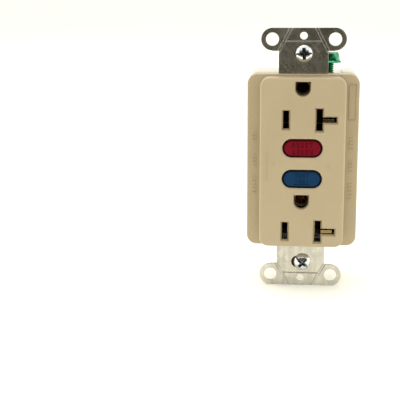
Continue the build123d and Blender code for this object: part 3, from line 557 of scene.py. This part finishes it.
def swap_in(name, mesh, angle=40, body=None):
    """Shows a finer mesh in the place of a CAD node, in the same finish and on its body or another."""
    node = NODES[name]
    piece = new_object(name + "_detail", mesh)
    smooth_by_angle(piece, angle)
    for material in node.data.materials:
        piece.data.materials.append(material)
    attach(piece, body or body_of(name))
    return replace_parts(piece, name)


def welded(name):
    """A copy of a CAD node's mesh with its corners joined."""
    bm = bmesh.new()
    bm.from_mesh(NODES[name].data)
    bmesh.ops.remove_doubles(bm, verts=bm.verts, dist=WELD)
    return bm


def close_holes(bm):
    bmesh.ops.holes_fill(bm, edges=[edge for edge in bm.edges if edge.is_boundary])


def cut_off(name, point, outward):
    """A copy of a CAD mesh without what lies beyond a plane, closed where it was cut."""
    bm = welded(name)
    everything = bm.verts[:] + bm.edges[:] + bm.faces[:]
    bmesh.ops.bisect_plane(bm, geom=everything, dist=CUT_WELD, plane_co=point, plane_no=outward,
                           clear_outer=True)
    close_holes(bm)
    return finish_bmesh(bm, name)


def dome(mesh, centre, front, seat, radius):
    """Bulges the front of a flat screw head into part of a sphere."""
    bm = bmesh.new()
    bm.from_mesh(mesh)
    near = [edge for edge in bm.edges if all(vert.co.y < seat for vert in edge.verts)]
    bmesh.ops.subdivide_edges(bm, edges=near, cuts=3, use_grid_fill=True)
    for vert in bm.verts:
        share = (seat - vert.co.y) / (seat - front)
        if share > 0:
            reach = math.hypot(vert.co.x - centre.x, vert.co.z - centre.z)
            vert.co.y += share * (radius - math.sqrt(radius ** 2 - reach ** 2))
    bm.to_mesh(mesh)
    bm.free()
    return mesh


def paint_recess_shade(piece, finish, centre, outward, reach, deepest, curve=math.inf):
    """Paints shade on the walls and floor of the recess in a screw head: a darker copy of the screw's metal
    goes on those faces.
    """
    piece.data.materials.append(MATERIALS[finish])
    outward = Vector(outward)
    top = max((vert.co - centre).dot(outward) for vert in piece.data.vertices)
    for face in piece.data.polygons:
        offset = face.center - centre
        height = offset.dot(outward)
        beside = (offset - height * outward).length
        if beside < reach:
            bulge = 0.0 if math.isinf(curve) else curve - math.sqrt(curve ** 2 - beside ** 2)
            if RECESS_TOP < top - bulge - height < deepest:
                face.material_index = 1


def thread_mesh(start, end, radius, point):
    """A rod with a helical V thread from start to end, narrowing over its last stretch, the point."""
    start, end = Vector(start), Vector(end)
    along = (end - start).normalized()
    length = (end - start).length
    side = along.orthogonal().normalized()
    other = along.cross(side)
    root = radius - THREAD_DEPTH
    # One turn's section: shares of the pitch, and the radius there
    section = ((0.0, root), (0.13, root), (0.5, radius), (0.6, radius), (1.0, root))
    steps = THREAD_SIDES * (math.ceil(length / THREAD_PITCH) + 1)
    bm = bmesh.new()
    strips = []
    for step in range(steps + 1):
        angle = 2 * math.pi * step / THREAD_SIDES
        outward = math.cos(angle) * side + math.sin(angle) * other
        strip = []
        for share, reach in section:
            place = THREAD_PITCH * (step / THREAD_SIDES - 1 + share)
            if place <= 0:
                place, reach = 0.0, root
            elif place >= length:
                place, reach = length, root - TIP_TAPER * point
            else:
                reach = min(reach, radius - POINT_TAPER * max(0.0, place - (length - point)))
            strip.append(bm.verts.new(start + along * place + outward * reach))
        strips.append(strip)
    for strip, following in zip(strips, strips[1:]):
        for k in range(len(section) - 1):
            bm.faces.new((strip[k], strip[k + 1], following[k + 1], following[k]))
    bmesh.ops.remove_doubles(bm, verts=bm.verts, dist=FINE_WELD)
    bmesh.ops.dissolve_degenerate(bm, dist=FINE_WELD / 2, edges=bm.edges)
    close_holes(bm)
    return finish_bmesh(bm, "thread")


def add_mounting_screw(name):
    centre = node_centre(name)
    front, back = span_of(name, 1)
    shoulder = Vector((centre.x, MOUNTING_SHOULDER, centre.z))
    tip = Vector((centre.x, back, centre.z))
    head = dome(cut_off(name, shoulder, (0, 1, 0)), centre, front, HEAD_SEAT, HEAD_CURVE)
    start = shoulder - Vector((0, THREAD_OVERLAP, 0))
    thread = thread_mesh(start, tip, MOUNTING_THREAD_R, MOUNTING_POINT)
    piece = swap_in(name, join_meshes(name, head, thread))
    # Painted shade on the walls and floor of the recess in the domed head.
    paint_recess_shade(piece, "zinc_recess", centre, (0, -1, 0), HEAD_RECESS_REACH, HEAD_SEAT - front, HEAD_CURVE)


def add_terminal_screw(name):
    centre = node_centre(name)
    side = math.copysign(1, centre.x)
    seat = Vector((side * TERMINAL_SEAT, centre.y, centre.z))
    tip = Vector((side * TERMINAL_TIP, centre.y, centre.z))
    head = cut_off(name, seat, (-side, 0, 0))
    start = seat + Vector((side * THREAD_OVERLAP, 0, 0))
    thread = thread_mesh(start, tip, TERMINAL_THREAD_R, TERMINAL_POINT)
    piece = swap_in(name, join_meshes(name, head, thread))
    # Painted shade for the recess: a darker copy of the brass or zinc of the head.
    finish = "brass_recess" if "hot" in name else "zinc_recess"
    paint_recess_shade(piece, finish, centre, (side, 0, 0), TERMINAL_RECESS_REACH, TERMINAL_RECESS_DEPTH)


def add_ground_screw(name):
    centre = node_centre(name)
    seat = Vector((centre.x, centre.y, GROUND_SEAT))
    tip = Vector((centre.x, centre.y, span_of(name, 2)[0]))
    head = cut_off(name, seat, (0, 0, -1))
    start = seat + Vector((0, 0, THREAD_OVERLAP))
    thread = thread_mesh(start, tip, GROUND_THREAD_R, GROUND_POINT)
    swap_in(name, join_meshes(name, head, thread))


def add_threads():
    """Screws whose threads the CAD parts leave plain."""
    for end in ("upper", "lower"):
        add_mounting_screw(end + "_mounting_screw")
    for wire in ("line_hot", "line_neutral", "load_hot", "load_neutral"):
        add_terminal_screw(wire + "_screw")
    add_ground_screw("ground_screw")


def helix(centre, axis, low, high, radius, turns, steps=HELIX_STEPS):
    """Points along a helix around a line parallel to an axis."""
    across, up = axes_around(axis)
    points = []
    for step in range(int(turns * steps) + 1):
        share = step / (turns * steps)
        angle = 2 * math.pi * turns * share
        point = Vector(centre)
        point[axis] = low + (high - low) * share
        point[across] += radius * math.cos(angle)
        point[up] += radius * math.sin(angle)
        points.append(point)
    return points


def coil_spring(name, axis, ends, radius, wire, turns):
    """A compression spring with a closed turn at each end."""
    centre = node_centre(name)
    low, high = ends
    flat = CLOSED_TURN_RISE * wire
    path = helix(centre, axis, low + wire / 2, low + wire / 2 + flat, radius, 1)
    path += helix(centre, axis, low + wire / 2 + flat, high - wire / 2 - flat, radius, turns)[1:]
    path += helix(centre, axis, high - wire / 2 - flat, high - wire / 2, radius, 1)[1:]
    return tube_mesh(name, path, wire / 2, 8)


def add_springs():
    """The coil springs at their free length."""
    for name, joint, travel in (("reset_spring", "reset_press", RESET_TRAVEL),
                                ("test_spring", "test_press", TEST_TRAVEL)):
        front = span_of(name, 1)[0]
        mesh = coil_spring(name, 1, (front, WELL_BOTTOM), BUTTON_SPRING_R, BUTTON_SPRING_WIRE,
                           BUTTON_SPRING_TURNS)
        spring = swap_in(name, mesh, 60, "housing")
        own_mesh(spring)
    name = "plunger_spring"
    low, high = PLUNGER_SPRING_LOW, span_of(name, 2)[1]
    mesh = coil_spring(name, 2, (low, high), PLUNGER_SPRING_R, PLUNGER_SPRING_WIRE,
                       PLUNGER_SPRING_TURNS)
    spring = swap_in(name, mesh, 60, "housing")
    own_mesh(spring)


def ring_mesh(centre, axis, low, high, inner, outer):
    """A plain ring around an axis."""
    across, up = axes_around(axis)
    sides = 48
    verts, faces = [], []
    for k in range(sides):
        angle = 2 * math.pi * k / sides
        for radius, place in ((inner, low), (outer, low), (outer, high), (inner, high)):
            point = Vector(centre)
            point[axis] = place
            point[across] += radius * math.cos(angle)
            point[up] += radius * math.sin(angle)
            verts.append(point)
    for k in range(sides):
        here, there = 4 * k, 4 * ((k + 1) % sides)
        for c in range(4):
            n = (c + 1) % 4
            faces.append((here + c, here + n, there + n, there + c))
    return mesh_from("ring", verts, faces)


def toroid_path(centre, low, high, inner, outer, turns):
    """A wire wound around the section of a ring that lies across the Y axis."""
    steps = TRANSFORMER_STEPS
    middle, half = (inner + outer) / 2, (outer - inner) / 2
    depth, half_depth = (low + high) / 2, (high - low) / 2
    points = []
    for step in range(turns * steps):
        angle = 2 * math.pi * step / (turns * steps)
        around = 2 * math.pi * step / steps
        across, along = math.cos(around), math.sin(around)
        stretch = 1 / max(abs(across), abs(along)) ** 0.75
        radius = middle + half * max(-1, min(1, across * stretch))
        y = depth + half_depth * max(-1, min(1, along * stretch))
        points.append(Vector((centre.x + radius * math.cos(angle), y, centre.z + radius * math.sin(angle))))
    return points


def add_solenoid_coil(name):
    """One layer of wire on a solid core, which fills the bobbin."""
    centre = node_centre(name)
    low, high = span_of(name, 2)
    turns = int((high - low) / WIRE) - 1
    path = helix(centre, 2, low + WIRE / 2, high - WIRE / 2, COIL_R - WIRE / 2, turns, COIL_STEPS)
    core = ring_mesh(centre, 2, low, high, BOBBIN_R, COIL_R - 0.75 * WIRE)
    swap_in(name, join_meshes("coil", tube_mesh("wire", path, WIRE / 2, WIRE_SIDES), core), 60)


def add_transformer_winding(name):
    """Wire wound around a ring core."""
    centre = node_centre(name)
    low, high = span_of(name, 1)
    inset = WIRE / 2
    path = toroid_path(centre, low + inset, high - inset, TRANSFORMER_INNER_R + inset,
                       TRANSFORMER_OUTER_R - inset, TRANSFORMER_TURNS)
    wire = tube_mesh("wire", path, WIRE / 2, WIRE_SIDES, closed=True)
    core_inset = 0.9 * WIRE
    core = ring_mesh(centre, 1, low + core_inset, high - core_inset, TRANSFORMER_INNER_R + core_inset,
                     TRANSFORMER_OUTER_R - core_inset)
    swap_in(name, join_meshes(name, wire, core), 60)


def letters(text, centre, turned, spacing):
    """A closed mesh of raised letters that face the room, upright or upside down."""
    curve = bpy.data.curves.new(text, "FONT")
    curve.body = text
    curve.size = LETTER_HEIGHT / CAPITAL_SHARE
    curve.space_character = spacing
    curve.extrude = LETTER_DEPTH
    curve.align_x = "CENTER"
    curve.resolution_u = 4
    curve.offset = LETTER_SWELL
    made = new_object(text, curve)
    bm = bmesh.new()
    bm.from_mesh(made.to_mesh())
    bpy.data.objects.remove(made)
    bmesh.ops.remove_doubles(bm, verts=bm.verts, dist=FINE_WELD)
    mesh = finish_bmesh(bm, text)
    spin = Matrix.Rotation(math.pi, 4, "Y") if turned else Matrix.Identity(4)
    to_middle = Matrix.Translation((0, -LETTER_HEIGHT / 2, 0))
    mesh.transform(Matrix.Translation(centre) @ spin @ Matrix.Rotation(math.pi / 2, 4, "X") @ to_middle)
    return mesh


def engraved_button(name, middle, text, spacing):
    """Cuts a word into a button's face, upright above its middle and upside down below it."""
    front = span_of(name, 1)[0]
    words = []
    for shift, turned in ((LINE_SHIFT, False), (-LINE_SHIFT, True)):
        words.append(letters(text, Vector((middle[0], front, middle[1] + shift)), turned, spacing))
    cutter = new_object("cutter", join_meshes("cutter", *words))
    blank = new_object("blank", finish_bmesh(welded(name), "blank"))
    cut = blank.modifiers.new("letters", "BOOLEAN")
    cut.object = cutter
    cut.solver = "EXACT"
    finished = blank.evaluated_get(bpy.context.evaluated_depsgraph_get())
    mesh = bpy.data.meshes.new_from_object(finished)
    bpy.data.objects.remove(cutter)
    bpy.data.objects.remove(blank)
    mesh.materials.clear()
    swap_in(name, mesh, 25)


def add_pads(name, front, pads, height):
    """Low raised pads on a surface that faces the room, each given by its spans of X and Z."""
    draft, sunk = 0.35 * height, 0.2 * height
    bm = bmesh.new()
    for (left, right), (low, high) in pads:
        made = bmesh.ops.create_cube(bm, size=1.0)
        for vert in made["verts"]:
            inset = draft if vert.co.y < 0 else 0.0
            x = left + inset if vert.co.x < 0 else right - inset
            z = low + inset if vert.co.z < 0 else high - inset
            vert.co = (x, front - height if vert.co.y < 0 else front + sunk, z)
    pad = new_object(name, finish_bmesh(bm, name))
    pad.data.materials.append(MATERIALS["ivory_nylon"])
    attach(pad, "housing")


def strokes(across, along, pitch=1.45 * MM, share=0.55):
    """Evenly spaced short strokes that fill a strip, as raised rating marks do without words."""
    count = int((along[1] - along[0]) / pitch)
    return [(across, (along[0] + i * pitch, along[0] + (i + share) * pitch)) for i in range(count)]


def frame_of(across, along, width=0.25 * MM):
    """The four sides of a rectangle, as pads."""
    left, right = across
    low, high = along
    return [
        ((left, right), (low, low + width)),
        ((left, right), (high - width, high)),
        ((left, left + width), (low + width, high - width)),
        ((right - width, right), (low + width, high - width)),
    ]


def add_markings():
    """Blank raised marks where the face and flange carry ratings and labels."""
    pads = []
    for low, high in ((7.3, 12.5), (-2.9, 3.6), (-13.6, -5.7)):
        pads += strokes((-19.6 * MM, -18.0 * MM), (low * MM, high * MM))
    for low, high in ((4.0, 10.6), (-5.0, 1.5), (-15.7, -7.5)):
        pads += strokes((18.2 * MM, 19.8 * MM), (low * MM, high * MM))
    pads += frame_of((17.7 * MM, 20.6 * MM), (16.0 * MM, 30.0 * MM))
    add_pads("flange_marks", FLANGE_FRONT, pads, FLANGE_MARK_HEIGHT)
    small = strokes((-14.0 * MM, -13.1 * MM), (-7.3 * MM, 5.0 * MM), 0.75 * MM)
    small += strokes((-11.2 * MM, -10.4 * MM), (-0.9 * MM, 1.1 * MM), 0.7 * MM)
    small += strokes((9.9 * MM, 10.7 * MM), (-2.4 * MM, 1.0 * MM), 0.7 * MM)
    add_pads("face_marks", FACE_FRONT, small, FACE_MARK_HEIGHT)


dress_nodes()
soften_edges("mounting_strap", STRAP_BEVEL)
add_threads()
add_springs()
add_solenoid_coil("solenoid_coil")
for transformer in ("ground_fault_transformer", "neutral_transformer"):
    add_transformer_winding(transformer)
engraved_button("reset_button", RESET_MIDDLE, "RESET", RESET_SPACING)
engraved_button("test_button", TEST_MIDDLE, "TEST", TEST_SPACING)
add_markings()


# ---- camera, floor and light ----


def add_camera():
    data = bpy.data.cameras.new("camera")
    data.sensor_width = SENSOR_MM
    data.lens = CAMERA_LENS_MM
    camera = new_object("camera", data)
    back = -Vector(CAMERA_LOOK).normalized()
    right = Vector(CAMERA_UP).cross(back).normalized()
    up = back.cross(right)
    turn = Matrix((right, up, back)).transposed().to_4x4()
    camera.matrix_world = Matrix.Translation(CAMERA_AT) @ turn
    bpy.context.scene.camera = camera


def add_sheet(name, corners, material):
    """A flat four-cornered piece of the studio."""
    sheet = new_object(name, mesh_from(name, corners, [(0, 1, 2, 3)]))
    sheet.data.materials.append(material)
    return sheet


def add_floor():
    """Warm white paper with a weak glow, so that it comes out even."""
    half = FLOOR_SIZE / 2
    level = CAD_BOX[0].z
    m = Nodes("floor_paper")
    paper = m.ramp(m.noise(8, 3), [(0.3, (0.91, 0.90, 0.81)), (0.7, (0.93, 0.92, 0.83))])
    m.set(Base_Color=paper, Roughness=0.8, Specular_IOR_Level=0.1)
    m.set(Emission_Color=(1, 1, 0.97, 1), Emission_Strength=0.12)
    corners = [(-half, -half, level), (half, -half, level), (half, half, level), (-half, half, level)]
    add_sheet("floor", corners, m.material)


def add_world():
    """An even white studio."""
    world = bpy.data.worlds.new("studio")
    bpy.context.scene.world = world
    world.use_nodes = True
    background = world.node_tree.nodes["Background"]
    background.inputs["Color"].default_value = (1.0, 0.995, 0.955, 1)
    background.inputs["Strength"].default_value = 1.05


def add_flags():
    """Dark studio flags around the camera, which show only in reflections."""
    level = CAD_BOX[0].z + 1 * MM
    near, far, half, top = -0.14, -0.62, 0.6, 0.42
    m = Nodes("flag_cloth")
    cloth = m.ramp(m.noise(40, 3), [(0.3, (0.055, 0.05, 0.042)), (0.7, (0.07, 0.064, 0.054))])
    m.set(Base_Color=cloth, Roughness=0.9)
    foot = [(-half, far, level), (half, far, level)]
    ends = {
        "flag_low": [(half, near, level), (-half, near, level)],
        "flag_back": [(half, far, top), (-half, far, top)],
    }
    for name, end in ends.items():
        flag = add_sheet(name, foot + end, m.material)
        flag.visible_camera = False
        flag.visible_diffuse = False
        flag.visible_shadow = False


def add_area(name, place, size, power):
    """A rectangular light that points at the middle of the object."""
    data = bpy.data.lights.new(name, "AREA")
    data.shape = "RECTANGLE"
    data.size, data.size_y = size
    data.energy = power
    light = new_object(name, data)
    light.location = place
    light.rotation_mode = "QUATERNION"
    light.rotation_quaternion = (-Vector(place)).to_track_quat("-Z", "Y")


def add_lights():
    add_area("overhead", (-0.15, 0.35, 0.9), (1.2, 0.8), 5.0)
    add_area("left", (-0.9, 0.1, 0.4), (0.5, 0.7), 1.5)
    add_area("right", (0.9, 0.0, 0.4), (0.5, 0.7), 1.5)


add_camera()
add_floor()
add_world()
add_flags()
add_lights()
bpy.context.scene.view_settings.view_transform = "Standard"
